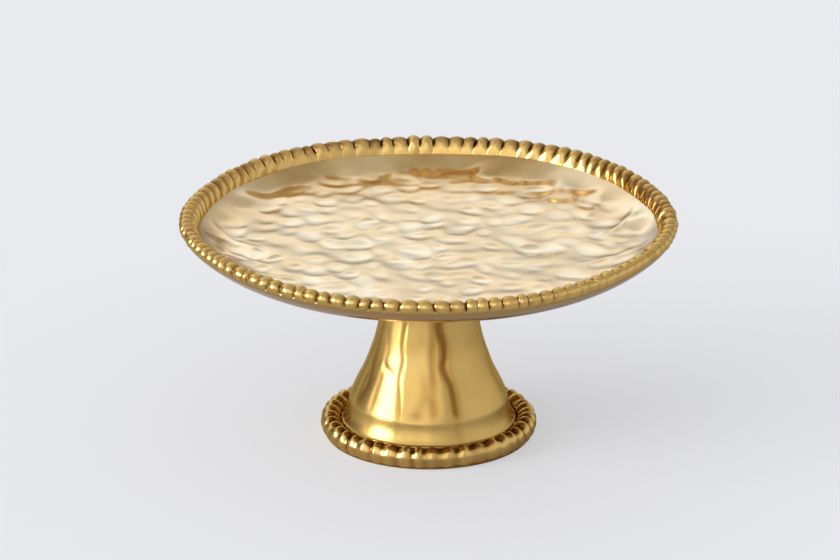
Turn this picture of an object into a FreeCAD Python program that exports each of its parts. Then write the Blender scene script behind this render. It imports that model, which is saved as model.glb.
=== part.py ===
import FreeCAD, Part
import math
import os

import Sketcher

# Cake stand of gold-glazed porcelain: a shallow hammered plate with a beaded rim, on a hollow
# flared pedestal that stands in a beaded foot ring. Each casting is joined to the next by slip.
# Millimetres, +Z up. The origin is on the floor, under the middle of the plate.

DIMENSIONS = (
    # the rim: the outline that the beads touch, and the height of their crowns
    ("rim_radius", 139.0, "outermost point of the beads, mean of the hand-shaped outline"),
    ("rim_top", 129.1, "crown of the beads, mean of the gently waving rim"),
    ("plan_three", 1.2, "three-lobed share of the outline"),
    ("plan_four", -0.9, "four-lobed share of the outline"),
    ("plan_five", -0.7, "five-lobed share of the outline"),
    ("plan_six", 0.8, "six-lobed share of the outline"),
    ("lift_one", -0.3, "tilt of the rim, front against back"),
    ("lift_two", 0.3, "two-lobed share of the rim's height"),
    ("lift_three", -0.5, "three-lobed share of the rim's height"),
    # the plate
    ("floor_top", 115.0, "upper face of the plate's flat middle"),
    ("floor_radius", 95.0, "where the flat middle ends"),
    ("underside", 110.0, "lower face of the plate's flat middle"),
    ("underside_radius", 60.0, "where the flat underside ends"),
    ("lip_top", 3.6, "depth of the lip's top below the crowns of the beads"),
    ("lip_outside", 2.4, "inset of the lip's outer face from the outline"),
    ("lip_inside", 8.3, "inset of the lip's inner face from the outline"),
    # the rim's beads
    ("bead_count", 110, "beads round the rim"),
    ("bead_length", 10.8, "along the radius"),
    ("bead_width", 7.2, "along the rim"),
    ("bead_height", 7.2, "before the lip is let into it"),
    ("bead_fit", 0.15, "gap between a bead and the lip"),
    # the pedestal
    ("wall", 5.0, "thickness of the slip-cast wall"),
    ("head_radius", 29.5, "at the joint with the plate"),
    ("head_top", 109.4, "upper face, under the slip seam"),
    ("neck_radius", 25.4, "narrowest, outside"),
    ("neck_height", 92.0, "height of the narrowest place"),
    ("waist_radius", 28.6, "where the cone starts to flare"),
    ("waist_height", 65.5, "height of that place"),
    ("flare_radius", 36.9, "halfway down the flare"),
    ("flare_height", 38.5, "height of that place"),
    ("crease_radius", 44.6, "crease above the cove"),
    ("crease_height", 21.6, "height of that crease"),
    ("cove_radius", 45.4, "bottom of the steep band, where the cove turns out"),
    ("cove_height", 14.0, "height of that place"),
    ("skirt_radius", 49.4, "thin lip round the pedestal's foot"),
    ("skirt_height", 9.6, "upper edge of that lip"),
    ("skirt_thick", 1.4, "thickness of that lip"),
    ("heel_radius", 48.4, "outer edge of the face that is luted to the foot ring"),
    ("heel_height", 5.0, "height of that face"),
    ("seam", 0.6, "thickness of both slip seams"),
    # the foot ring
    ("foot_inner", 42.0, "edge of the opening underneath"),
    ("foot_outer", 57.8, "outer edge of the face that stands on the floor"),
    ("ledge_height", 4.4, "ledge that the pedestal stands on"),
    ("core_inner", 50.7, "inner face of the raised part that carries the beads"),
    ("core_outer", 57.2, "outer edge of its top"),
    ("core_height", 8.6, "height of its top"),
    # the foot ring's beads
    ("foot_bead_count", 43, "beads round the foot"),
    ("foot_bead_middle", 55.8, "radius of the circle through their middles"),
    ("foot_bead_length", 11.2, "along the radius"),
    ("foot_bead_width", 7.9, "along the ring"),
    ("foot_bead_height", 12.6, "before the core is let into it"),
    ("foot_bead_lift", 6.0, "height of their middles"),
    ("foot_bead_clear", 0.4, "gap between the beads and the floor"),
)
OUTLINE_POINTS = 48


def make_sheet(doc):
    """Put every driving dimension in a cell with an alias."""
    sheet = doc.addObject("Spreadsheet::Sheet", "Sheet")
    for row, (alias, value, note) in enumerate(DIMENSIONS, start=1):
        sheet.set(f"A{row}", alias)
        sheet.set(f"B{row}", str(value))
        sheet.set(f"C{row}", note)
        sheet.setAlias(f"B{row}", alias)
    doc.recompute()
    return sheet


def bind(thing, **expressions):
    """Tie properties of a document object to expressions on the sheet's aliases."""
    for name, expression in expressions.items():
        thing.setExpression(name, expression)


# ---- sketches and revolved bodies ------------------------------------------------------------

def origin_plane(body, role):
    """One of a body's own origin planes."""
    return next(item for item in body.Origin.OriginFeatures if item.Role == role)


def polygon_sketch(body, name, corners):
    """A closed polygon on the body's XZ plane; every corner is a pair of sheet expressions."""
    sketch = body.newObject("Sketcher::SketchObject", name)
    sketch.AttachmentSupport = [(origin_plane(body, "XZ_Plane"), "")]
    sketch.MapMode = "FlatFace"
    values = [[float(sketch.evalExpression(text)) for text in corner] for corner in corners]
    count = len(corners)
    for index, (radius, height) in enumerate(values):
        next_radius, next_height = values[(index + 1) % count]
        start = FreeCAD.Vector(radius, height, 0)
        end = FreeCAD.Vector(next_radius, next_height, 0)
        sketch.addGeometry(Part.LineSegment(start, end), False)
    for index in range(count):
        sketch.addConstraint(Sketcher.Constraint("Coincident", index, 2, (index + 1) % count, 1))
    for index, (radius_text, height_text) in enumerate(corners):
        radius, height = values[index]
        across = sketch.addConstraint(Sketcher.Constraint("DistanceX", -1, 1, index, 1, radius))
        sketch.setExpression(f"Constraints[{across}]", radius_text)
        up = sketch.addConstraint(Sketcher.Constraint("DistanceY", -1, 1, index, 1, height))
        sketch.setExpression(f"Constraints[{up}]", height_text)
    return sketch


def revolved_body(doc, label, corners):
    """A body turned about Z from one polygon."""
    body = doc.addObject("PartDesign::Body", label)
    body.Label = label
    sketch = polygon_sketch(body, label + "_profile", corners)
    doc.recompute()
    turn = body.newObject("PartDesign::Revolution", label + "_turned")
    turn.Profile = sketch
    turn.ReferenceAxis = (sketch, ["V_Axis"])
    turn.Angle = 360
    body.Tip = turn
    doc.recompute()
    return body


# ---- the hand-shaped outline of the rim ------------------------------------------------------

def plan_wave(sheet, angle):
    """How far the outline stands out from a true circle at an angle.

    The first term slides the outline sideways by what its odd lobes take from one side, which
    keeps its box centred on the pedestal.
    """
    return (
        (sheet.plan_three - sheet.plan_five) * math.sin(angle)
        + sheet.plan_three * math.sin(3 * angle)
        + sheet.plan_four * math.cos(4 * angle)
        + sheet.plan_five * math.sin(5 * angle)
        + sheet.plan_six * math.cos(6 * angle)
    )


def lift_wave(sheet, angle):
    """How far the rim stands above its mean height at an angle."""
    return (
        sheet.lift_one * math.sin(angle)
        + sheet.lift_two * math.sin(2 * angle)
        + sheet.lift_three * math.sin(3 * angle)
    )


def ring_wire(sheet, radius, height, share):
    """A closed smooth wire round the plate that follows a share of the rim's waves."""
    points = []
    for index in range(OUTLINE_POINTS):
        angle = 2 * math.pi * index / OUTLINE_POINTS
        reach = radius + share * plan_wave(sheet, angle)
        level = height + share * lift_wave(sheet, angle)
        points.append(FreeCAD.Vector(reach * math.cos(angle), reach * math.sin(angle), level))
    curve = Part.BSplineCurve()
    curve.interpolate(Points=points, PeriodicFlag=True)
    return Part.Wire([curve.toShape()])


# ---- the plate -------------------------------------------------------------------------------

def make_plate(doc, sheet):
    """The dish: underside, lip and well in one skin, lofted through rings about the axis."""
    edge = sheet.rim_radius
    lip = sheet.rim_top - sheet.lip_top
    floor = sheet.floor_top
    under = sheet.underside
    rings = (
        # radius, height, share of the rim's waves
        (sheet.underside_radius, under, 0.0),
        (edge - 36, under + 0.3, 0.3),
        (edge - 22, under + 1.0, 0.6),
        (edge - 14, under + 2.9, 0.8),
        (edge - 8, under + 5.9, 0.9),
        (edge - 3.6, under + 9.6, 1.0),
        (edge - sheet.lip_outside + 0.1, under + 12.8, 1.0),
        (edge - sheet.lip_outside, lip - 0.4, 1.0),
        (edge - sheet.lip_outside - 0.6, lip, 1.0),
        (edge - sheet.lip_inside + 0.6, lip, 1.0),
        (edge - sheet.lip_inside, lip - 0.4, 1.0),
        (edge - 9.6, floor + 6.4, 1.0),
        (edge - 14, floor + 3.6, 0.8),
        (edge - 20, floor + 1.5, 0.6),
        (edge - 28, floor + 0.4, 0.3),
        (sheet.floor_radius, floor, 0.0),
    )
    wires = [ring_wire(sheet, *ring) for ring in rings]
    plate = doc.addObject("Part::Feature", "plate")
    plate.Label = "plate"
    plate.Shape = Part.makeLoft(wires, True, True)
    plate.Placement = FreeCAD.Placement()
    return plate


def make_rim_beads(doc, sheet):
    """Separate beads that sit astride the lip, each turned and lifted with the outline."""
    form = doc.addObject("Part::Ellipsoid", "rim_bead_form")
    bind(form, Radius1="Sheet.bead_height / 2", Radius2="Sheet.bead_length / 2",
         Radius3="Sheet.bead_width / 2")
    saddle = doc.addObject("Part::Box", "rim_bead_saddle")
    bind(saddle, Length="Sheet.lip_inside - Sheet.lip_outside + 2 * Sheet.bead_fit",
         Width="2 * Sheet.bead_width", Height="Sheet.bead_height")
    corner = (
        "vector(Sheet.bead_length / 2 - Sheet.lip_inside - Sheet.bead_fit;"
        " -Sheet.bead_width;"
        " -Sheet.bead_height / 2 - Sheet.lip_top + Sheet.bead_fit)"
    )
    saddle.setExpression("Placement.Base", corner)
    bead = doc.addObject("Part::Cut", "rim_bead")
    bead.Base = form
    bead.Tool = saddle
    doc.recompute()

    copies = []
    for index in range(int(sheet.bead_count)):
        angle = 2 * math.pi * index / sheet.bead_count
        reach = sheet.rim_radius - sheet.bead_length / 2 + plan_wave(sheet, angle)
        level = sheet.rim_top - sheet.bead_height / 2 + lift_wave(sheet, angle)
        place = FreeCAD.Placement(
            FreeCAD.Vector(reach * math.cos(angle), reach * math.sin(angle), level),
            FreeCAD.Rotation(FreeCAD.Vector(0, 0, 1), math.degrees(angle)),
        )
        copies.append(bead.Shape.transformed(place.toMatrix()))
    beads = doc.addObject("Part::Feature", "rim_beads")
    beads.Label = "rim_beads"
    beads.Shape = Part.makeCompound(copies)
    beads.Placement = FreeCAD.Placement()
    return beads


# ---- the pedestal ----------------------------------------------------------------------------

def make_pedestal(doc):
    """The hollow flared casting, open at both ends, with a thin lip round its foot."""
    outside = (
        ("Sheet.head_radius", "Sheet.head_top"),
        ("Sheet.head_radius - 2.6", "Sheet.head_top - 3.2"),
        ("Sheet.neck_radius", "Sheet.neck_height + 6"),
        ("Sheet.neck_radius", "Sheet.neck_height - 4"),
        ("(Sheet.neck_radius + Sheet.waist_radius) / 2 - 0.6",
         "(Sheet.neck_height + Sheet.waist_height) / 2"),
        ("Sheet.waist_radius", "Sheet.waist_height"),
        ("(Sheet.waist_radius + Sheet.flare_radius) / 2 - 0.5",
         "(Sheet.waist_height + Sheet.flare_height) / 2"),
        ("Sheet.flare_radius", "Sheet.flare_height"),
        ("Sheet.crease_radius", "Sheet.crease_height"),
        ("Sheet.cove_radius", "Sheet.cove_height"),
        ("Sheet.cove_radius + 1.6", "Sheet.cove_height - 2.8"),
        ("Sheet.skirt_radius", "Sheet.skirt_height"),
        ("Sheet.skirt_radius", "Sheet.skirt_height - Sheet.skirt_thick"),
        ("Sheet.heel_radius", "Sheet.heel_height"),
    )
    inside = (
        ("Sheet.foot_inner", "Sheet.heel_height"),
        ("Sheet.cove_radius - Sheet.wall", "Sheet.cove_height"),
        ("Sheet.crease_radius - Sheet.wall - 0.6", "Sheet.crease_height"),
        ("Sheet.flare_radius - Sheet.wall - 0.6", "Sheet.flare_height"),
        ("Sheet.waist_radius - Sheet.wall", "Sheet.waist_height"),
        ("Sheet.neck_radius - Sheet.wall", "Sheet.neck_height - 4"),
        ("Sheet.neck_radius - Sheet.wall", "Sheet.head_top"),
    )
    return revolved_body(doc, "pedestal", outside + inside)


# ---- the foot ring and its beads -------------------------------------------------------------

def make_foot_ring(doc):
    """The ring that stands on the floor: a ledge for the pedestal and a raised core."""
    corners = (
        ("Sheet.foot_inner", "0"),
        ("Sheet.foot_outer", "0"),
        ("Sheet.foot_outer", "2"),
        ("Sheet.core_outer", "Sheet.core_height"),
        ("Sheet.core_inner", "Sheet.core_height"),
        ("Sheet.core_inner", "Sheet.ledge_height"),
        ("Sheet.foot_inner", "Sheet.ledge_height"),
    )
    return revolved_body(doc, "foot_ring", corners)


def make_foot_beads(doc, sheet, ring):
    """Separate beads over the foot ring's core, from its inner face down to the floor."""
    form = doc.addObject("Part::Ellipsoid", "foot_bead_form")
    bind(form, Radius1="Sheet.foot_bead_height / 2", Radius2="Sheet.foot_bead_length / 2",
         Radius3="Sheet.foot_bead_width / 2")
    form.setExpression("Placement.Base", "vector(Sheet.foot_bead_middle; 0; Sheet.foot_bead_lift)")
    ground = doc.addObject("Part::Box", "foot_bead_ground")
    bind(ground, Length="2 * Sheet.foot_bead_length", Width="2 * Sheet.foot_bead_width",
         Height="Sheet.foot_bead_height")
    corner = (
        "vector(Sheet.foot_bead_middle - Sheet.foot_bead_length;"
        " -Sheet.foot_bead_width;"
        " Sheet.foot_bead_clear - Sheet.foot_bead_height)"
    )
    ground.setExpression("Placement.Base", corner)
    trimmed = doc.addObject("Part::Cut", "foot_bead_trimmed")
    trimmed.Base = form
    trimmed.Tool = ground
    bead = doc.addObject("Part::Cut", "foot_bead")
    bead.Base = trimmed
    bead.Tool = ring
    doc.recompute()

    copies = []
    for index in range(int(sheet.foot_bead_count)):
        turned = bead.Shape.copy()
        turned.rotate(FreeCAD.Vector(), FreeCAD.Vector(0, 0, 1), 360 * index / sheet.foot_bead_count)
        copies.append(turned)
    beads = doc.addObject("Part::Feature", "foot_beads")
    beads.Label = "foot_beads"
    beads.Shape = Part.makeCompound(copies)
    beads.Placement = FreeCAD.Placement()
    return beads


# ---- the slip seams --------------------------------------------------------------------------

def make_seam(doc, label, inner, outer, bottom):
    """A flat ring of fired slip between two castings, sized by sheet expressions."""
    disc = doc.addObject("Part::Cylinder", label + "_disc")
    bind(disc, Radius=outer, Height="Sheet.seam")
    hole = doc.addObject("Part::Cylinder", label + "_hole")
    bind(hole, Radius=inner, Height="Sheet.seam")
    seam = doc.addObject("Part::Cut", label)
    seam.Label = label
    seam.Base = disc
    seam.Tool = hole
    seam.setExpression("Placement.Base", f"vector(0; 0; {bottom})")
    return seam


# ---- checks and export -----------------------------------------------------------------------

def check(doc, nodes):
    """Stop on a failed object or a bad shape."""
    for item in doc.Objects:
        if "Invalid" in item.State or "Error" in item.State:
            raise RuntimeError(f"{item.Name} failed: {item.State}")
    for node in nodes:
        shape = node.Shape
        if shape.isNull() or not shape.isValid() or not shape.Solids:
            raise RuntimeError(f"{node.Label} has a bad shape")
        box = shape.BoundBox
        print(f"{node.Label:12s} solids {len(shape.Solids):3d}  volume {shape.Volume / 1000:8.2f} cm3  "
              f"x {box.XMin:8.2f} {box.XMax:8.2f}  y {box.YMin:8.2f} {box.YMax:8.2f}  "
              f"z {box.ZMin:7.2f} {box.ZMax:7.2f}")


def main():
    doc = FreeCAD.newDocument("cake_stand")
    sheet = make_sheet(doc)
    ring = make_foot_ring(doc)
    nodes = [
        make_plate(doc, sheet),
        make_rim_beads(doc, sheet),
        make_pedestal(doc),
        ring,
        make_foot_beads(doc, sheet, ring),
        make_seam(doc, "plate_seam", "Sheet.neck_radius - Sheet.wall", "Sheet.head_radius",
                  "Sheet.head_top"),
        make_seam(doc, "foot_seam", "Sheet.foot_inner", "Sheet.heel_radius", "Sheet.ledge_height"),
    ]
    doc.recompute()
    check(doc, nodes)
    os.makedirs("parts", exist_ok=True)
    for node in nodes:
        node.Shape.exportStep(f"parts/{node.Label}.step")


main()
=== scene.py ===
import math

import bpy
import numpy as np
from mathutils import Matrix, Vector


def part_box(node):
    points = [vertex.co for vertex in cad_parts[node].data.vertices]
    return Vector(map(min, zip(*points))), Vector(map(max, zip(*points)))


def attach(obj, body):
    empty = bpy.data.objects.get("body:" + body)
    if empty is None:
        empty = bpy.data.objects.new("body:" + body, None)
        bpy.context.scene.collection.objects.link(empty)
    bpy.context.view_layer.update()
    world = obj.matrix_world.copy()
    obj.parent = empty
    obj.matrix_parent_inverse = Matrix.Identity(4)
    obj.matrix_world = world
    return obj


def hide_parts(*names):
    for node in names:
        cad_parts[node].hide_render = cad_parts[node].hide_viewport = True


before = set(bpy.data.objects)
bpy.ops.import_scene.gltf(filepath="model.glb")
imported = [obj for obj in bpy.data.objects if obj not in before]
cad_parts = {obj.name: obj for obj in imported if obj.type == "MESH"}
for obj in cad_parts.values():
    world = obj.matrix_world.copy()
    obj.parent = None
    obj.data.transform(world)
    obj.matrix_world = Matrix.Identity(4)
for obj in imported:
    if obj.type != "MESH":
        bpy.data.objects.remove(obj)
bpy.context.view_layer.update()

MM = 0.001                  # a millimetre, in the scene's metres
TAU = 2 * math.pi


# ---- sizes, in millimetres; the CAD frame gives the places ------------------------------------

def top_of(node):
    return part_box(node)[1].z / MM


def bottom_of(node):
    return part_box(node)[0].z / MM


PLATE_UNDERSIDE = bottom_of("plate")
PLATE_THICKNESS = 5.0
WELL_HEIGHT = PLATE_UNDERSIDE + PLATE_THICKNESS
PEDESTAL_TOP = top_of("pedestal")
HEEL_HEIGHT = bottom_of("pedestal")
FOOT_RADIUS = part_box("foot_beads")[1].x / MM

RIM_RADIUS = 139.0          # mean reach of the beads
RIM_TOP = 129.1             # mean height of their crowns
RIM_BEADS = 110
FOOT_BEADS = 43


# ---- small helpers ----------------------------------------------------------------------------

def blend(t, start, end, first, last):
    """The straight way from first, where t is start, to last, where t is end."""
    return (end - t) / (end - start) * first + (t - start) / (end - start) * last


def smooth_curve(points, step):
    """Points of a smooth curve through the given ones, about a step apart.

    It is a centripetal Catmull-Rom curve, so close points don't make it loop."""
    points = np.array(points, float)
    ends = np.vstack([2 * points[0] - points[1], points, 2 * points[-1] - points[-2]])
    out = []
    for a, b, c, d in zip(ends[:-3], ends[1:-2], ends[2:-1], ends[3:]):
        knots = [0.0]
        for p, q in ((a, b), (b, c), (c, d)):
            knots.append(knots[-1] + max(np.linalg.norm(q - p), 1e-6) ** 0.5)
        at_a, at_b, at_c, at_d = knots
        count = max(2, int(round(np.linalg.norm(c - b) / step)))
        t = np.linspace(at_b, at_c, count, endpoint=False)[:, None]
        ab = blend(t, at_a, at_b, a, b)
        bc = blend(t, at_b, at_c, b, c)
        cd = blend(t, at_c, at_d, c, d)
        abc = blend(t, at_a, at_c, ab, bc)
        bcd = blend(t, at_b, at_d, bc, cd)
        out.append(blend(t, at_b, at_c, abc, bcd))
    return np.vstack([np.vstack(out), points[-1:]])


def ring_mesh(name, points, closed_section=False, caps=False, attributes=None):
    """A mesh from rows of points round the axis. points is (rows, columns, 3) in millimetres.

    closed_section joins the last row to the first, and caps fill the two end rows instead.
    attributes has one value for each point."""
    rows, columns, _ = points.shape
    index = np.arange(rows * columns).reshape(rows, columns)
    lower = index if closed_section else index[:-1]
    upper = np.roll(index, -1, axis=0) if closed_section else index[1:]
    quads = np.stack([lower, np.roll(lower, -1, axis=1), np.roll(upper, -1, axis=1), upper], -1)
    quads = quads.reshape(-1, 4)
    verts = points.reshape(-1, 3) * MM
    faces = quads.tolist()
    if caps:
        first, last = len(verts), len(verts) + 1
        verts = np.vstack([verts, points[0].mean(0) * MM, points[-1].mean(0) * MM])
        faces += [[int(b), int(a), first] for a, b in zip(index[0], np.roll(index[0], -1))]
        faces += [[int(a), int(b), last] for a, b in zip(index[-1], np.roll(index[-1], -1))]
    mesh = bpy.data.meshes.new(name)
    mesh.from_pydata(verts.tolist(), [], faces)
    for key, values in (attributes or {}).items():
        flat = np.asarray(values, np.float32).reshape(-1)
        if caps:
            flat = np.concatenate([flat, [values[0].mean(), values[-1].mean()]])
        layer = mesh.attributes.new(key, "FLOAT", "POINT")
        layer.data.foreach_set("value", flat.astype(np.float32))
    mesh.shade_smooth()
    mesh.validate()
    piece = bpy.data.objects.new(name, mesh)
    bpy.context.scene.collection.objects.link(piece)
    return piece


def section_normals(section):
    """Unit normals of a closed section, pointing out of it. section is (points, 2)."""
    tangent = np.roll(section, -1, axis=0) - np.roll(section, 1, axis=0)
    tangent /= np.linalg.norm(tangent, axis=1, keepdims=True)
    normal = np.stack([tangent[:, 1], -tangent[:, 0]], -1)
    middle = section.mean(0)
    if ((section - middle) * normal).sum() < 0:
        normal = -normal
    return normal


def turn_between(angles, middle):
    """The signed turn from middle to each of the angles, all in radians, the short way round."""
    return (angles - middle + math.pi) % TAU - math.pi


def smooth_noise(angle, seed, lobes):
    """A periodic wandering value round the rim: sine waves with seeded phases, each weaker."""
    rng = np.random.default_rng(seed)
    falloff = 0.8
    total = 0
    for order, lobe in enumerate(lobes):
        total = total + falloff ** order * np.sin(lobe * angle + rng.uniform(0, TAU))
    return total


def near(angles, middle, width):
    """1 at the middle, in degrees, falling smoothly to 0 round it."""
    return np.exp(-(turn_between(angles, math.radians(middle)) / math.radians(width)) ** 2)


def plan_wave(angle):
    """How far the hand-shaped outline stands out from a circle, as in the CAD plate."""
    return (1.9 * np.sin(angle) + 1.2 * np.sin(3 * angle) - 0.9 * np.cos(4 * angle)
            - 0.7 * np.sin(5 * angle) + 0.8 * np.cos(6 * angle))


def lift_wave(angle):
    """How far the rim stands above its mean height."""
    return -0.3 * np.sin(angle) + 0.3 * np.sin(2 * angle) - 0.5 * np.sin(3 * angle)


# ---- materials --------------------------------------------------------------------------------

def new_material(name):
    material = bpy.data.materials.new(name)
    material.use_nodes = True
    tree = material.node_tree
    shader = tree.nodes["Principled BSDF"]
    return material, tree, shader


def add(tree, kind, **settings):
    node = tree.nodes.new(kind)
    for key, value in settings.items():
        setattr(node, key, value)
    return node


def noise(tree, scale, detail):
    """Noise in the object's own space; scale is in blobs to the metre."""
    where = add(tree, "ShaderNodeTexCoord")
    texture = add(tree, "ShaderNodeTexNoise")
    texture.inputs["Scale"].default_value = scale
    texture.inputs["Detail"].default_value = detail
    tree.links.new(where.outputs["Object"], texture.inputs["Vector"])
    return texture.outputs["Fac"]


def ramp_of(tree, factor, stops):
    """The colour at factor on a ramp of (place, colour) stops; a colour may be one grey value."""
    node = add(tree, "ShaderNodeValToRGB")
    elements = node.color_ramp.elements
    for end, (where, colour) in ((0, stops[0]), (1, stops[-1])):
        elements[end].position = where
        elements[end].color = full_colour(colour)
    for where, colour in stops[1:-1]:
        elements.new(where).color = full_colour(colour)
    tree.links.new(factor, node.inputs["Fac"])
    return node.outputs["Color"]


def full_colour(colour):
    """A colour with its alpha, from three values or from one grey."""
    return (*colour, 1) if isinstance(colour, tuple) else (colour, colour, colour, 1)


def add_bump(tree, shader, height, strength, distance):
    bump = add(tree, "ShaderNodeBump")
    bump.inputs["Strength"].default_value = strength
    bump.inputs["Distance"].default_value = distance
    tree.links.new(height, bump.inputs["Height"])
    tree.links.new(bump.outputs["Normal"], shader.inputs["Normal"])


def gold(name, pale, deep, dark, edge, roughness, glaze):
    """Gold lustre under a clear glaze, uneven gloss, and painted shade: pale on the raised parts,
    deep in the recesses and dark in the deepest, where shade would fall.

    An attribute on the mesh says which is which, and a mesh without one is painted as all recess.
    edge tints what it reflects at grazing angles. Returns the material."""
    material, tree, shader = new_material(name)
    links = tree.links
    cloudiness = 0.30
    paleness_and_shade = add(tree, "ShaderNodeAttribute", attribute_name="paleness_and_shade")
    cloudy = add(tree, "ShaderNodeMath", operation="MULTIPLY_ADD")
    links.new(noise(tree, 42, 4), cloudy.inputs[0])
    cloudy.inputs[1].default_value = cloudiness
    links.new(paleness_and_shade.outputs["Fac"], cloudy.inputs[2])
    # painted shade: the low end of the ramp darkens the gold in grooves, folds and recesses
    colour = ramp_of(tree, cloudy.outputs[0], [(0.08, dark), (0.28, deep), (0.85, pale)])
    links.new(colour, shader.inputs["Base Color"])
    shader.inputs["Metallic"].default_value = 1.0
    shader.inputs["Specular Tint"].default_value = full_colour(edge)
    shader.inputs["Coat Weight"].default_value = glaze
    shader.inputs["Coat Roughness"].default_value = 0.12
    shader.inputs["Coat IOR"].default_value = 1.5

    gloss = add(tree, "ShaderNodeMapRange")
    gloss.inputs["To Min"].default_value = roughness * 0.80
    gloss.inputs["To Max"].default_value = roughness * 1.25
    links.new(noise(tree, 160, 5), gloss.inputs["Value"])
    links.new(gloss.outputs["Result"], shader.inputs["Roughness"])
    add_bump(tree, shader, noise(tree, 300, 2), strength=0.5, distance=0.00005)
    return material


def bare_underneath(material):
    """Faces that look straight down are unglazed, as where the ware stands in the kiln."""
    tree = material.node_tree
    shader = tree.nodes["Principled BSDF"]
    links = tree.links
    steepest = -0.95
    facing = add(tree, "ShaderNodeNewGeometry")
    split = add(tree, "ShaderNodeSeparateXYZ")
    links.new(facing.outputs["True Normal"], split.inputs["Vector"])
    down = add(tree, "ShaderNodeMath", operation="LESS_THAN")
    links.new(split.outputs["Z"], down.inputs[0])
    down.inputs[1].default_value = steepest
    glaze = shader.inputs["Base Color"].links[0].from_socket
    mix = add(tree, "ShaderNodeMix", data_type="RGBA")
    links.new(down.outputs[0], mix.inputs["Factor"])
    links.new(glaze, mix.inputs["A"])
    mix.inputs["B"].default_value = (0.74, 0.71, 0.65, 1)
    links.new(mix.outputs["Result"], shader.inputs["Base Color"])
    metal = add(tree, "ShaderNodeMath", operation="SUBTRACT")
    metal.inputs[0].default_value = 1.0
    links.new(down.outputs[0], metal.inputs[1])
    links.new(metal.outputs[0], shader.inputs["Metallic"])


def bisque(name):
    """Bare fired porcelain: warm white, matt, faintly speckled."""
    material, tree, shader = new_material(name)
    speck = noise(tree, 900, 6)
    colour = ramp_of(tree, speck, [(0.3, (0.66, 0.62, 0.55)), (0.6, (0.80, 0.78, 0.73))])
    tree.links.new(colour, shader.inputs["Base Color"])
    shader.inputs["Roughness"].default_value = 0.75
    add_bump(tree, shader, speck, strength=0.3, distance=0.0003)
    return material


# ---- the plate --------------------------------------------------------------------------------

def scoops(seed, across, along, reach):
    """Hammer blows as (x, y, ball radius, sink, turn), by seeded dart throwing.

    across and along are the usual distances between blows in X and in Y."""
    rng = np.random.default_rng(seed)
    throws = 14000
    spots = []
    for _ in range(throws):
        spot = rng.uniform(-reach, reach, 2)
        if np.hypot(*spot) > reach:
            continue
        gap = rng.uniform(0.72, 1.18)
        if all(((spot[0] - s[0]) / across) ** 2 + ((spot[1] - s[1]) / along) ** 2 > gap * gap
               for s in spots):
            spots.append((*spot, rng.uniform(26, 70), rng.normal(0, 0.24), rng.uniform(-0.7, 0.7)))
    return np.array(spots)


def hammered(x, y, spots, sharp, level):
    """Height of ball-shaped scoops out of a plain level: a point lies in the deepest one there.

    sharp is how crisp the ridges between them are."""
    slimness = 0.86
    total = np.full_like(x, math.exp(-sharp * level))
    for sx, sy, ball, sink, turn in spots:
        dx, dy = x - sx, y - sy
        u = dx * math.cos(turn) + dy * math.sin(turn)
        v = (-dx * math.sin(turn) + dy * math.cos(turn)) * slimness
        bowl = (u * u + v * v) / (2 * ball) + sink
        total += np.exp(-sharp * np.clip(bowl, -1, 5))
    return -np.log(total + 1e-12) / sharp


def ripples(x, y, seed, count, size):
    """Fine uneven waves in every direction, as worked metal has between the blows."""
    rng = np.random.default_rng(seed)
    shortest, longest = 12, 26
    total = np.zeros_like(x)
    for _ in range(count):
        heading, length = rng.uniform(0, math.pi), rng.uniform(shortest, longest)
        phase = rng.uniform(0, TAU)
        total += length * np.sin(TAU * (x * math.cos(heading) + y * math.sin(heading)) / length
                                 + phase)
    return size * total / ((shortest + longest) / 2 * math.sqrt(count / 2))


def plate_section():
    """The plate's section as (radius, height), and where its upper side starts in it."""
    edge = RIM_RADIUS
    under = PLATE_UNDERSIDE
    floor = WELL_HEIGHT
    lip = RIM_TOP - 4.6
    below = [(1.5, under), (30, under), (60, under), (85, under + 0.15), (edge - 36, under + 0.35),
             (edge - 26, under + 0.8), (edge - 19, under + 1.6), (edge - 14, under + 2.9),
             (edge - 8, under + 5.9), (edge - 4.2, under + 9.0), (edge - 2.4, under + 10.9)]
    band = [(edge - 1.7, under + 12.0), (edge - 1.9, under + 13.3), (edge - 2.6, lip - 0.8),
            (edge - 3.6, lip)]
    well = [(edge - 7.0, lip), (edge - 8.6, lip - 1.2), (edge - 9.8, floor + 6.8),
            (edge - 12.5, floor + 4.9), (edge - 16, floor + 3.1), (edge - 20, floor + 1.6),
            (edge - 25, floor + 0.6), (edge - 32, floor + 0.1), (90, floor), (60, floor),
            (30, floor), (1.5, floor)]
    lower = smooth_curve(below, 4.6)[:-1]
    lower = np.vstack([lower, smooth_curve([below[-1]] + band, 1.0)[:-1]])
    upper = smooth_curve([band[-1]] + well, 1.2)
    return np.vstack([lower, upper]), len(lower)


def well_dents(x, y):
    """The hammer blows over the whole well, with wandering edges."""
    warp_x = x + 1.9 * np.sin(y / 9.0 + 1.0) + 0.8 * np.sin(x / 5.3)
    warp_y = y + 1.9 * np.sin(x / 8.0 + 2.0) + 0.6 * np.sin(y / 4.7 + 0.6)
    spots = scoops(seed=11, across=14.5, along=17.5, reach=126)
    return np.clip(hammered(warp_x, warp_y, spots, sharp=9.0, level=0.50), -0.9, 0.7)


def well_floor_share(angle, radius):
    """1 on the well's floor and 0 on its wall; the floor reaches further out at the front right."""
    ragged = smooth_noise(angle, 14, (9, 14, 22))[None]
    reach = RIM_RADIUS - 25 + 7 * np.cos(angle - math.radians(300))[None] + 1.6 * ragged
    reach = reach - 9 * near(angle, 43, 14)[None]
    away = np.clip((reach - radius) / 16 + 0.5, 0, 1)
    return away * away * (3 - 2 * away)


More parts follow.
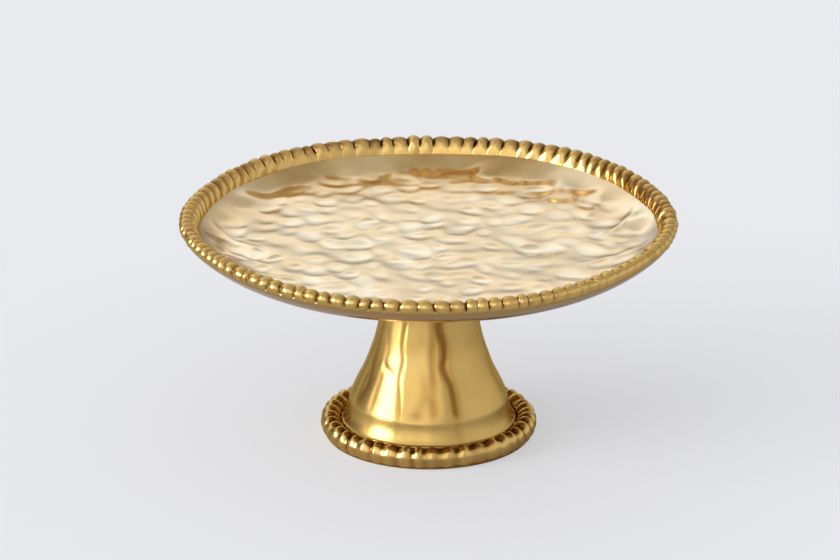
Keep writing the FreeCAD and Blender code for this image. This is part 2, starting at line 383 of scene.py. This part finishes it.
def well_folds(angle, radius):
    """A few long slanting folds where the floor turns up into the wall."""
    folds = np.zeros((len(radius), len(angle)))
    # angle at the outer end and at the inner, radius of the inner end and of the outer, height
    for outer_end, inner_end, inner, outer, size in (
            (168, 196, 90, 126, 0.7), (178, 207, 98, 127, 0.6), (201, 222, 96, 124, 0.5),
            (-4, -26, 92, 124, 0.6), (22, 2, 96, 126, 0.7), (36, 20, 92, 120, 0.5)):
        way_out = np.clip((radius - inner) / (outer - inner), 0, 1)
        middle = math.radians(inner_end) + math.radians(outer_end - inner_end) * way_out
        apart = turn_between(angle[None], middle) * radius
        ends = np.sin(math.pi * way_out) ** 0.5
        folds = folds + size * ends * np.exp(-np.abs(apart / 3.2) ** 1.3) * np.sign(way_out)
    return folds


def make_plate():
    """The dish in one skin: flat underside, lip, and a hammered well."""
    columns = 608
    flat_reach = 55
    profile, split = plate_section()
    angle = np.arange(columns) * TAU / columns
    radius = profile[:, :1]
    share = np.clip((radius - flat_reach) / (RIM_RADIUS - 9 - flat_reach), 0, 1) ** 1.5
    r = radius + share * plan_wave(angle)[None]
    z = profile[:, 1:] + share * lift_wave(angle)[None]
    x, y = r * np.cos(angle), r * np.sin(angle)

    top_x, top_y, top_radius = x[split:], y[split:], radius[split:]
    dents = well_dents(top_x, top_y)
    on_floor = well_floor_share(angle, top_radius)
    gentle = (0.55 * np.sin(top_x / 17 + 0.8) * np.sin(top_y / 19 + 2.2)
              + 0.28 * np.sin(top_x / 9.5 + top_y / 12 + 0.4) * np.sin(top_y / 8.5 - top_x / 23))
    fine = ripples(top_x, top_y, seed=17, count=30, size=0.13)
    z[split:] += on_floor * (dents - 0.25 + gentle + fine)
    # long soft bulges where the floor turns up into the wall
    bulges = 0.75 * smooth_noise(angle, 5, (8, 13, 19, 29))[None]
    z[split:] += np.exp(-((top_radius - (RIM_RADIUS - 20)) / 7.5) ** 2) * bulges
    z[split:] += well_folds(angle, top_radius)

    # how pale the gold is, mostly painted shade and painted reflection: darkest underneath, deep on
    # the wall except at the right, with some random variation there, and on the well's floor darker
    # on the ridges between dents and deeper at the far side
    paleness_and_shade = np.full(z.shape, -0.08)
    wall_paleness_and_shade = 0.21 + 0.13 * smooth_noise(angle, 9, (3, 7, 12)) + 0.45 * near(angle, 2, 30)
    wall_paleness_and_shade = wall_paleness_and_shade - 0.24 * near(angle, 180, 30) - 0.16 * near(angle, 66, 26)
    ridge = np.clip((dents + 0.10) / 0.5, 0, 1)
    far = np.clip((top_radius - 70) / 30, 0, 1) * near(angle, 88, 50)
    paleness_and_shade[split:] = wall_paleness_and_shade[None] * (1 - on_floor) + on_floor * (0.71 - 0.38 * ridge - 0.40 * far)
    points = np.stack([x, y, z], -1)
    return ring_mesh("plate", points, caps=True, attributes={"paleness_and_shade": np.clip(paleness_and_shade, -0.1, 1)})


# ---- beaded borders ---------------------------------------------------------------------------

def bead_borders(count, seed, uneven):
    """The grooves between beads of uneven width, and each one's slant, bend, depth and height."""
    rng = np.random.default_rng(seed)
    widths = np.clip(rng.normal(1, uneven, count), 1 - 2.2 * uneven, 1 + 2.2 * uneven)
    grooves = np.concatenate([[0], np.cumsum(widths)]) / widths.sum() * TAU
    slant = rng.normal(0, 1, count)
    bend = rng.normal(0.5, 0.7, count)
    depth = np.clip(rng.normal(1, 0.18, count), 0.6, 1.4)
    tall = rng.normal(0, 1, count)
    return grooves, slant, bend, depth, tall


def bead_rope(name, section, crease, softness, count, seed, uneven, slant_by, tall_by, per_bead,
              outline, smear, painted_shade):
    """A cast rope of beads round a ring.

    section is the closed outline of a bead's middle in (radius, height), and crease and
    softness give the depth of the grooves and how rounded they are at each of its points.
    uneven, slant_by (radians) and tall_by (millimetres) are how much the beads differ in width,
    slant and height, and per_bead is the mesh columns in each.
    outline(angles) moves the section with the rim, smear(angles) gives how much of the groove is
    left at each point, and the last function of the angles gives painted reflection, added to the
    gold's paleness."""
    grooves, slant, bend, depth, tall = bead_borders(count, seed, uneven)
    normals = section_normals(section)
    along = (1 - np.cos(np.pi * np.arange(per_bead) / per_bead)) / 2
    lean = np.linspace(-1, 1, len(section))
    curl = lean ** 2 - 0.3
    angles, rounds, waves, tallness, cuts = [], [], [], [], []
    for bead in range(count):
        nxt = (bead + 1) % count
        start = grooves[bead] + slant_by * (slant[bead] * lean + bend[bead] * curl)
        end = grooves[bead + 1] + slant_by * (slant[nxt] * lean + bend[nxt] * curl)
        for u in along:
            angles.append(start * (1 - u) + end * u)
            rounds.append(max(0.0, 1 - abs(2 * u - 1) ** 2.2) ** 0.5)
            waves.append((1 - math.cos(TAU * u)) / 2)
            tallness.append(tall[bead] * math.sin(math.pi * u) ** 0.7)
            cuts.append(depth[bead] * (1 - u) + depth[nxt] * u)
    angles = np.array(angles).T
    rounds, waves, tallness, cuts = (np.array(v)[None] for v in (rounds, waves, tallness, cuts))
    soft = softness[:, None]
    pull = crease[:, None] * (1 - rounds * (1 - soft) - waves * soft) * cuts * smear(angles)
    grow = tall_by * tallness * (crease[:, None] / crease.max())
    offset = grow - pull
    out, up = outline(angles)
    r = section[:, :1] + normals[:, :1] * offset + out
    z = section[:, 1:] + normals[:, 1:] * offset + up
    points = np.stack([r * np.cos(angles), r * np.sin(angles), z], -1)
    # painted shade deep in the grooves, a little paler on the taller beads, and the painted
    # reflection by angle
    paleness_and_shade = np.clip(0.85 - 0.42 * pull + 0.15 * tallness + painted_shade(angles), 0, 1)
    return ring_mesh(name, points, closed_section=True, attributes={"paleness_and_shade": paleness_and_shade})


def make_rim_beads():
    """The border of beads over the plate's lip, all cast together."""
    spots = np.array([
        # inset from the outline, depth below the crown, depth of the groove
        (2.2, 7.2, 0.3), (1.0, 6.3, 1.1), (0.2, 4.9, 1.6), (0.0, 3.3, 1.75), (0.6, 1.7, 1.8),
        (1.9, 0.5, 1.8), (3.8, 0.0, 1.8), (5.8, 0.2, 1.9), (7.6, 1.1, 2.2), (9.0, 2.6, 2.3),
        (10.0, 4.4, 1.7), (10.7, 6.3, 0.9), (11.3, 8.6, 0.2),
    ])
    hidden = np.array([(10.2, 9.8, 0.0), (8.0, 9.5, 0.0), (5.5, 8.9, 0.0), (3.6, 8.1, 0.0)])
    visible = smooth_curve(spots, 0.85)
    whole = np.vstack([visible, hidden])
    section = np.stack([RIM_RADIUS - whole[:, 0], RIM_TOP - whole[:, 1]], -1)

    def outline(angles):
        return plan_wave(angles), lift_wave(angles)

    def smear(angles):
        """Grooves run out on the outer face at the front right and low inside at the back."""
        outer = np.clip((section[:, :1] - (RIM_RADIUS - 4.5)) / 3.5, 0, 1)
        inner = np.clip((RIM_RADIUS - 8.8 - section[:, :1]) / 1.4, 0, 1)
        filled = 1 - 0.85 * outer * near(angles, 325, 26)
        return filled * (1 - 0.75 * inner * near(angles, 98, 40))

    def painted_shade(angles):
        """Painted reflection: darker gold on the crowns at the back and on the inner slopes at the
        right, for the darker room they reflect.
        """
        crown = np.exp(-((whole[:, :1] - 4.4) / 3.2) ** 4)
        inner = np.clip((whole[:, :1] - 5.6) / 2.5, 0, 1)
        return -0.36 * crown * near(angles, 95, 62) - 0.42 * inner * near(angles, 26, 26)

    softness = np.full(len(whole), 0.22)
    return bead_rope("rim_beads", section, whole[:, 2], softness, count=RIM_BEADS, seed=3,
                     uneven=0.14, slant_by=math.radians(0.5), tall_by=0.30, per_bead=14,
                     outline=outline, smear=smear, painted_shade=painted_shade)


def make_foot_beads():
    """The border of beads over the foot ring, rounder and taller."""
    outer = FOOT_RADIUS - 0.6
    spots = np.array([
        # radius, height, depth of the groove
        (outer - 3.6, 0.35, 0.3), (outer - 1.6, 1.6, 0.7), (outer - 0.4, 3.7, 0.85),
        (outer, 6.1, 0.9), (outer - 0.4, 8.5, 1.1), (outer - 1.6, 10.7, 1.4),
        (outer - 3.2, 12.0, 1.7), (outer - 5.0, 12.5, 1.9), (outer - 6.9, 12.2, 2.0),
        (outer - 8.8, 11.1, 1.8), (outer - 10.4, 9.4, 1.4), (outer - 11.4, 7.3, 0.9),
    ])
    hidden = np.array([(outer - 11.4, 5.6, 0.2), (outer - 9.0, 4.8, 0.0), (outer - 5.9, 4.0, 0.0),
                       (outer - 4.6, 1.2, 0.0)])
    visible = smooth_curve(spots, 0.95)
    whole = np.vstack([visible, hidden])

    def outline(angles):
        return 0.25 * np.sin(3 * angles + 0.7), 0 * angles

    def smear(angles):
        """Grooves run out on the outer face at the front right."""
        outer_side = np.clip((whole[:, :1] - (outer - 3.5)) / 2.5, 0, 1)
        return 1 - 0.6 * outer_side * near(angles, 315, 30)

    def painted_shade(angles):
        """Painted reflection: the inner slopes are a dark gold at the front, for the dark pedestal
        they reflect.
        """
        inner = np.clip((outer - 3.9 - whole[:, :1]) / 1.5, 0, 1)
        return -0.65 * inner * near(angles, 272, 75)

    softness = np.clip((whole[:, 0] - (outer - 8.0)) / 5.0, 0.35, 0.9)
    return bead_rope("foot_beads", whole[:, :2], whole[:, 2], softness, count=FOOT_BEADS, seed=8,
                     uneven=0.10, slant_by=math.radians(0.6), tall_by=0.25, per_bead=28,
                     outline=outline, smear=smear, painted_shade=painted_shade)


# ---- the pedestal -----------------------------------------------------------------------------

def valley(angle, height, course, width, depth):
    """A soft pressed valley down through (angle in degrees, height) points.

    width and depth are in millimetres. It fades out above the first point, and runs straight on
    down from the last."""
    spots = smooth_curve(course, 1.0)[::-1]
    middle = np.radians(np.interp(height, spots[:, 1], spots[:, 0]))
    cone_radius = 22 + (100 - height) * 0.22
    apart = turn_between(angle, middle) * cone_radius
    ends = np.clip((spots[-1, 1] + 6 - height) / 12, 0, 1)
    return -depth * ends * np.exp(-(apart / width) ** 2)


def pedestal_section():
    """The pedestal's closed section as (radius, height), and how many points are outside."""
    cone = [(29.5, PEDESTAL_TOP), (28.2, PEDESTAL_TOP - 1.2), (26.8, PEDESTAL_TOP - 4),
            (25.5, 98), (25.3, 92), (25.6, 84), (26.6, 76), (28.3, 66.5), (30.6, 56),
            (33.4, 47.5), (36.9, 38.5), (40.3, 31.5), (43.0, 25.6), (44.5, 21.9)]
    cove = [(44.75, 20.7), (44.95, 19.0), (45.4, 16.5), (46.2, 13.8), (47.2, 11.5), (48.3, 9.75)]
    lip = [(48.9, 9.4), (49.1, 8.95), (49.1, 8.5), (48.8, 7.9), (48.3, 6.6), (48.2, HEEL_HEIGHT)]
    inside = [(47.0, HEEL_HEIGHT), (44.0, HEEL_HEIGHT), (42.0, HEEL_HEIGHT + 0.3), (41.0, 12),
              (40.2, 18), (38.4, 24), (34.6, 32), (31.2, 39), (27.4, 52), (23.6, 65.5),
              (21.0, 80), (20.4, 92), (20.4, 104), (20.4, PEDESTAL_TOP)]
    outer = np.vstack([smooth_curve(cone, 1.0)[:-1], smooth_curve([cone[-1]] + cove, 0.7)[:-1],
                       smooth_curve([cove[-1]] + lip, 0.35)[:-1]])
    inner = smooth_curve([lip[-1]] + inside, 2.5)
    return np.vstack([outer, inner]), len(outer)


def pressed_facets(angle, height):
    """Broad pressed facets round the cone."""
    push = 0 * (angle + height)
    for lobes, phase, size, drift in ((5, 0.4, 0.40, 0.010), (9, 2.1, 0.24, -0.014),
                                      (16, 1.0, 0.11, 0.020), (23, 2.6, 0.06, -0.012)):
        push = push + size * np.sin(lobes * angle + phase + drift * height)
    return push


def pressed_valleys(angle, height):
    """The folds that run down the cone, the deepest one at the front."""
    # each one's course down the cone as (angle, height), its width and its depth
    valleys = (
        ([(283, 80), (284, 70), (287, 61), (287, 56), (285, 50), (287, 45), (290, 40), (291, 26)],
         2.4, 1.05),
        ([(276, 78), (277, 66), (275, 58)], 3.0, 0.45),
        ([(243, 78), (241, 61), (244, 53), (243, 43), (246, 34), (248, 26)], 1.5, 0.42),
        ([(222, 80), (219, 66), (221, 58)], 2.4, 0.25),
        ([(206, 74), (203, 55), (207, 40), (205, 27)], 3.0, 0.55),
        ([(264, 46), (267, 38), (262, 27)], 3.2, 0.35),
        ([(350, 80), (353, 52), (349, 38), (352, 26)], 3.0, 0.30),
        ([(24, 88), (20, 62), (25, 44), (22, 26)], 2.4, 0.85),
        ([(58, 80), (61, 56), (57, 38), (60, 26)], 3.0, 0.5),
        ([(93, 90), (90, 60), (95, 42), (91, 26)], 2.2, 0.95),
        ([(127, 80), (130, 54), (126, 36), (129, 26)], 3.0, 0.5),
        ([(160, 88), (157, 58), (162, 40), (158, 26)], 2.4, 0.8),
        ([(187, 84), (190, 56), (186, 38), (188, 26)], 2.8, 0.5),
    )
    push = 0 * (angle + height)
    for course, width, depth in valleys:
        push = push + valley(angle, height, course, width, depth)
    return push


def pressed_dimples(angle, height, seed, count):
    """Shallow thumb marks, and now and then a low swelling."""
    rng = np.random.default_rng(seed)
    mean_radius = 33
    push = 0 * (angle + height)
    for _ in range(count):
        where, level = rng.uniform(0, TAU), rng.uniform(26, 100)
        apart = turn_between(angle, where) * mean_radius
        tilt = rng.uniform(-0.6, 0.6)
        rise = height - level
        wide, tall = rng.uniform(2.0, 4.5), rng.uniform(3.5, 9)
        size = rng.uniform(-0.28, 0.14)
        push = push + size * np.exp(-((apart + tilt * rise) / wide) ** 2 - (rise / tall) ** 2)
    return push


def slanting_dent(angle, height):
    """One short slanting dent at the front left."""
    where, level, slant = math.radians(228), 46, 0.40
    cone_radius = 34
    across = (angle - where) * cone_radius
    rise = height - level + slant * across
    return -0.55 * np.exp(-(across / 4.6) ** 4 - (rise / 2.3) ** 2)


def make_pedestal():
    """The hollow flared casting with its pressed folds, cove and thin foot lip."""
    columns = 440
    profile, outside_count = pedestal_section()
    angle = (np.arange(columns) * TAU / columns)[None]
    radius, height = profile[:, :1], profile[:, 1:]

    # the facets and dimples all but fade out at the front right
    calm = 1 - 0.8 * near(angle, 335, 38)
    folds = pressed_valleys(angle, height)
    push = folds + slanting_dent(angle, height)
    push = push + calm * (pressed_facets(angle, height)
                          + pressed_dimples(angle, height, seed=21, count=80))

    outward = np.zeros_like(height)
    outward[:outside_count] = 1
    on_cone = np.clip((height - 21) / 6, 0, 1) * np.clip((PEDESTAL_TOP - height) / 8, 0, 1)
    on_cove = np.clip((23 - height) / 3, 0, 1) * np.clip((height - 10) / 3, 0, 1)
    amount = outward * (on_cone + 0.22 * on_cove)
    r = radius + amount * push
    on_lip = outward * np.clip((16 - height) / 5, 0, 1) * np.clip((height - 8) / 2, 0, 1)
    z = height + 0.30 * on_lip * (np.sin(3 * angle + 1.1) + 0.5 * np.sin(11 * angle))
    points = np.stack([r * np.cos(angle), r * np.sin(angle), z], -1)
    # painted shade: the gold is darker down the pressed valleys
    paleness_and_shade = np.clip(0.62 + 0.75 * amount * folds, 0, 1)
    return ring_mesh("pedestal", points, closed_section=True, attributes={"paleness_and_shade": paleness_and_shade})


# ---- putting the pieces on the frame ----------------------------------------------------------

# each gold is pale on the raised parts, with painted shade: deep in the recesses and dark in the
# deepest of them
# painted highlight: the plate's gold is a paler copy of the others' gold, standing in for the
# washed-out bright reflections across the plate
plate_gold = gold("gold_plate", (0.90, 0.78, 0.55), (0.76, 0.53, 0.23), (0.50, 0.30, 0.09),
                  edge=(1, 1, 1), roughness=0.20, glaze=0.55)
bead_gold = gold("gold_beads", (0.72, 0.47, 0.145), (0.26, 0.115, 0.02), (0.14, 0.05, 0.008),
                 edge=(0.80, 0.68, 0.40), roughness=0.20, glaze=0.35)
pedestal_gold = gold("gold_pedestal", (0.70, 0.475, 0.15), (0.40, 0.20, 0.04), (0.25, 0.11, 0.02),
                     edge=(0.80, 0.68, 0.40), roughness=0.28, glaze=0.12)
ring_gold = gold("gold_foot", (0.60, 0.38, 0.12), (0.46, 0.26, 0.07), (0.34, 0.18, 0.04),
                 edge=(1, 1, 1), roughness=0.24, glaze=0.35)
bare_underneath(ring_gold)
bare = bisque("bare_porcelain")


def give(piece, material):
    piece.data.materials.clear()
    piece.data.materials.append(material)


def place(piece, material, node):
    """Put a piece on the part's one body in place of its CAD node."""
    give(piece, material)
    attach(piece, "root")
    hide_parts(node)


place(make_plate(), plate_gold, "plate")
place(make_rim_beads(), bead_gold, "rim_beads")
place(make_pedestal(), pedestal_gold, "pedestal")
place(make_foot_beads(), bead_gold, "foot_beads")

# the other CAD nodes stay, with better materials
for node, material in (("foot_ring", ring_gold), ("plate_seam", bare), ("foot_seam", bare)):
    give(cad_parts[node], material)


# ---- floor, light and camera ------------------------------------------------------------------

def seen_or_not(tree, reflected, seen):
    """One shader for what the eye sees straight on, and another for light and reflections."""
    path = add(tree, "ShaderNodeLightPath")
    choose = add(tree, "ShaderNodeMixShader")
    tree.links.new(path.outputs["Is Camera Ray"], choose.inputs["Fac"])
    tree.links.new(reflected, choose.inputs[1])
    tree.links.new(seen, choose.inputs[2])
    return choose.outputs["Shader"]


def make_floor():
    """A pale floor. The eye sees it lit a little more evenly than its reflections show it."""
    size = 300.0
    gap = 0.0002                # keeps it clear of the foot's flat face
    mesh = bpy.data.meshes.new("floor")
    corners = [(-size, -size, 0), (size, -size, 0), (size, size, 0), (-size, size, 0)]
    mesh.from_pydata(corners, [], [(0, 1, 2, 3)])
    floor = bpy.data.objects.new("floor", mesh)
    bpy.context.scene.collection.objects.link(floor)
    material, tree, shader = new_material("floor")
    links = tree.links
    shader.inputs["Base Color"].default_value = (0.60, 0.60, 0.61, 1)
    shader.inputs["Roughness"].default_value = 0.9
    paper = add(tree, "ShaderNodeBsdfDiffuse")
    paper.inputs["Color"].default_value = (0.41, 0.41, 0.42, 1)
    glow = add(tree, "ShaderNodeEmission")
    glow.inputs["Color"].default_value = (0.435, 0.445, 0.465, 1)
    lit = add(tree, "ShaderNodeAddShader")
    links.new(paper.outputs["BSDF"], lit.inputs[0])
    links.new(glow.outputs["Emission"], lit.inputs[1])
    choose = seen_or_not(tree, shader.outputs["BSDF"], lit.outputs["Shader"])
    links.new(choose, tree.nodes["Material Output"].inputs["Surface"])
    mesh.materials.append(material)
    floor.location.z = -gap


def far_lamp(name, bearing, elevation, spread, radiance):
    """A round soft lamp far away. bearing is from the camera's side, positive to the right, and
    spread is its width as the object sees it, all in degrees. radiance is what a mirror would
    show of it."""
    light = bpy.data.lights.new(name, "SUN")
    light.angle = math.radians(spread)
    light.energy = radiance * math.pi * math.sin(light.angle / 2) ** 2
    lamp = bpy.data.objects.new(name, light)
    around, up = math.radians(bearing), math.radians(elevation)
    towards = Vector((math.cos(up) * math.sin(around), -math.cos(up) * math.cos(around),
                         math.sin(up)))
    marker_distance = 4
    lamp.location = towards * marker_distance
    lamp.rotation_euler = towards.to_track_quat("Z", "Y").to_euler()
    bpy.context.scene.collection.objects.link(lamp)


def over(tree, below, above, height, start, full):
    """The colour below, giving way to the one above as height goes from start to full."""
    rising = ramp_of(tree, height, [(0.0, 0.0), (start, 0.0), (full, 1.0), (1.0, 1.0)])
    mix = add(tree, "ShaderNodeMix", data_type="RGBA")
    tree.links.new(rising, mix.inputs["Factor"])
    tree.links.new(below, mix.inputs["A"])
    if isinstance(above, tuple):
        mix.inputs["B"].default_value = above
    else:
        tree.links.new(above, mix.inputs["B"])
    return mix.outputs["Result"]


def make_world():
    """A pale studio in three bands of bearing, with one dark gap. The eye sees a plain backdrop."""
    world = bpy.data.worlds.new("studio")
    world.use_nodes = True
    bpy.context.scene.world = world
    tree = world.node_tree
    links = tree.links
    background = tree.nodes["Background"]
    ways = add(tree, "ShaderNodeTexCoord")
    split = add(tree, "ShaderNodeSeparateXYZ")
    links.new(ways.outputs["Generated"], split.inputs["Vector"])
    back = add(tree, "ShaderNodeMath", operation="MULTIPLY")
    back.inputs[1].default_value = -1
    links.new(split.outputs["Y"], back.inputs[0])
    bearing = add(tree, "ShaderNodeMath", operation="ARCTAN2")
    links.new(split.outputs["X"], bearing.inputs[0])
    links.new(back.outputs[0], bearing.inputs[1])
    turn = add(tree, "ShaderNodeMapRange")
    turn.inputs["From Min"].default_value = -math.pi
    turn.inputs["From Max"].default_value = math.pi
    links.new(bearing.outputs[0], turn.inputs["Value"])

    def band(stops):
        """Radiance by bearing in degrees from the camera's side, positive to the right."""
        return ramp_of(tree, turn.outputs["Result"],
                       [((where + 180) / 360, value) for where, value in stops])

    low = band([(-180, 0.42), (-166, 0.50), (-150, 0.36), (-138, 0.30), (-128, 0.24),
                (-110, 0.22), (-98, 0.40), (-62, 0.66), (-44, 0.62), (-34, 1.25), (0, 1.25),
                (14, 0.74), (32, 0.64), (50, 0.72), (64, 0.80), (125, 0.76), (150, 0.42),
                (180, 0.42)])
    middle = band([(-180, 1.22), (-166, 1.30), (-150, 1.15), (-140, 0.75), (-128, 0.34),
                   (-110, 0.32), (-98, 0.6), (-55, 0.80), (-42, 1.00), (-32, 1.48), (2, 1.48),
                   (14, 0.95), (32, 0.70), (62, 0.84), (105, 0.84), (125, 0.66), (150, 0.50),
                   (164, 0.80), (180, 1.22)])
    high = band([(-180, 0.60), (-150, 0.95), (-115, 1.00), (-60, 0.90), (-35, 1.15), (0, 1.10),
                 (30, 0.70), (75, 0.55), (130, 0.48), (180, 0.60)])
    zenith = (0.58, 0.58, 0.59, 1)
    # each takes over from the one below it between two sines of elevation
    height = split.outputs["Z"]
    room = over(tree, low, middle, height, 0.12, 0.44)
    room = over(tree, room, high, height, 0.50, 0.64)
    room = over(tree, room, zenith, height, 0.80, 0.90)
    links.new(room, background.inputs["Color"])
    plain = add(tree, "ShaderNodeBackground")
    plain.inputs["Color"].default_value = (0.80, 0.81, 0.835, 1)
    choose = seen_or_not(tree, background.outputs["Background"], plain.outputs["Background"])
    links.new(choose, tree.nodes["World Output"].inputs["Surface"])


def make_camera():
    """A long lens three metres off, a little above the plate."""
    aim = Vector((-0.0048, 0, 0.0906))
    distance = 3.0
    tilt = math.radians(20.64)
    camera = bpy.data.cameras.new("camera")
    camera.lens = 230
    camera.sensor_width = 36
    camera.clip_end = 60
    holder = bpy.data.objects.new("camera", camera)
    holder.location = aim + Vector((0, -math.cos(tilt), math.sin(tilt))) * distance
    holder.rotation_euler = (math.pi / 2 - tilt, 0, 0)
    bpy.context.scene.collection.objects.link(holder)
    bpy.context.scene.camera = holder


make_floor()
make_world()
far_lamp("left", bearing=-70, elevation=17, spread=37, radiance=6.4)
make_camera()
bpy.context.scene.view_settings.view_transform = "Standard"
